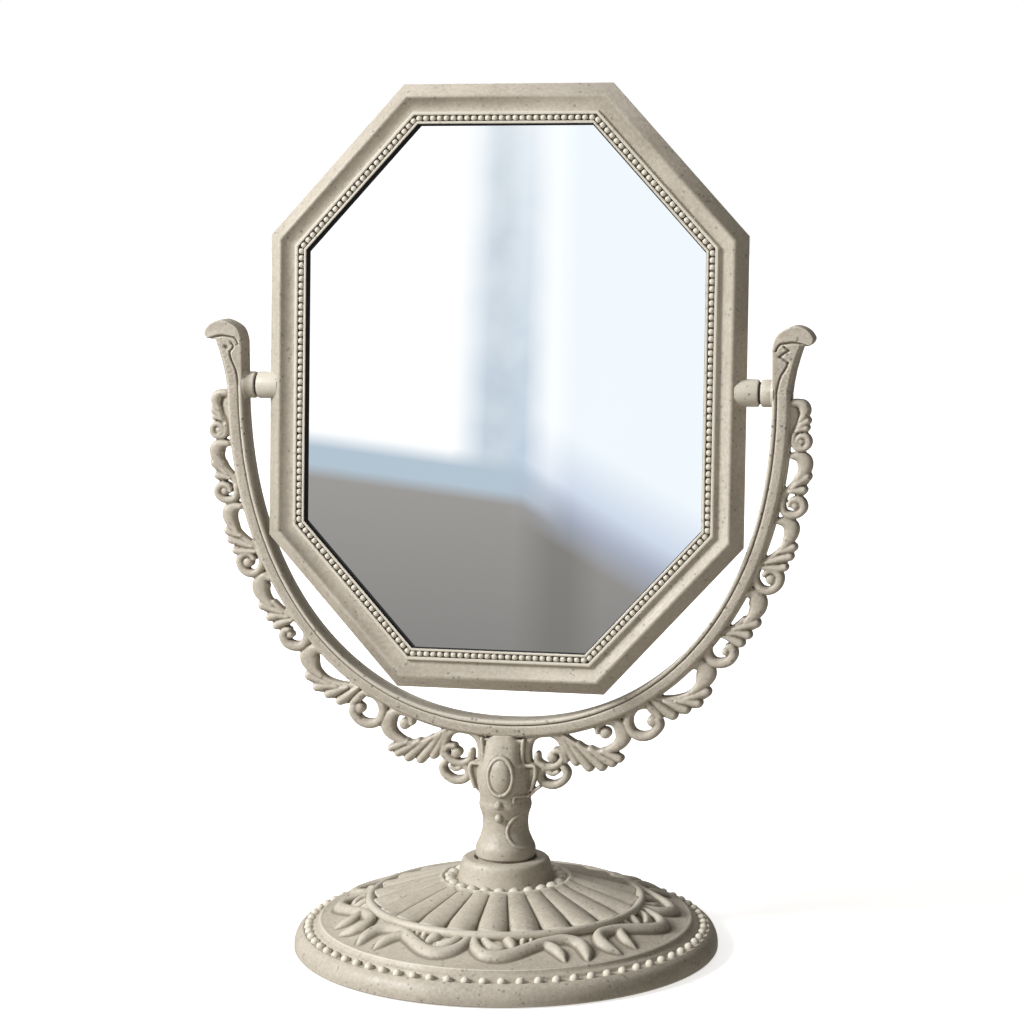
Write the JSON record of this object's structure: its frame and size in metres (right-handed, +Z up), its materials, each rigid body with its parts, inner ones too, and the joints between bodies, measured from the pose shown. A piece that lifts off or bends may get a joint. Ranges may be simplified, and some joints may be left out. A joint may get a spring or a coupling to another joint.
{
  "type": "tabletop swivel mirror",
  "caption": "Ornate octagonal two-sided mirror that swivels between the arms of a scrolled arch on a stem and a weighted round base.",
  "frame": {"origin": "centre of the base on the table", "axes": "+Z up, the front face of the mirror looks along -Y, the pivots lie along X"},
  "size_m": [0.2012, 0.14, 0.282],
  "materials": {
    "moulded_plastic": "greige moulded plastic with fine dark specks, satin",
    "cover_plastic": "plain moulded plastic, matt",
    "weight": "cast ballast ring",
    "steel": "zinc-plated steel",
    "foam": "dark foam pad",
    "washer": "dark friction washer",
    "mirror_glass": "silvered glass",
    "card": "plain brown board"
  },
  "bodies": {
    "stand": {"base_shell": "moulded_plastic", "base_weight": "weight", "base_cover": "cover_plastic", "cover_screws": "steel", "foot_pads": "foam", "stem_screw": "steel", "stem_washer": "steel", "stem": "moulded_plastic", "yoke_arch": "moulded_plastic", "left_scroll_border": "moulded_plastic", "right_scroll_border": "moulded_plastic", "left_pivot_socket": "moulded_plastic", "right_pivot_socket": "moulded_plastic", "left_pivot_pin": "steel", "right_pivot_pin": "steel", "left_friction_washer": "washer", "right_friction_washer": "washer"},
    "mirror": {"front_frame": "moulded_plastic", "rear_frame": "moulded_plastic", "front_glass": "mirror_glass", "rear_glass": "mirror_glass", "backing_card": "card", "left_pivot_barrel": "moulded_plastic", "right_pivot_barrel": "moulded_plastic"}
  },
  "joints": [
    {"name": "mirror_tilt", "type": "hinge", "parent": "stand", "child": "mirror", "pos_m": [0, 0, 0.1845], "axis": [1, 0, 0], "continuous": true}
  ]
}
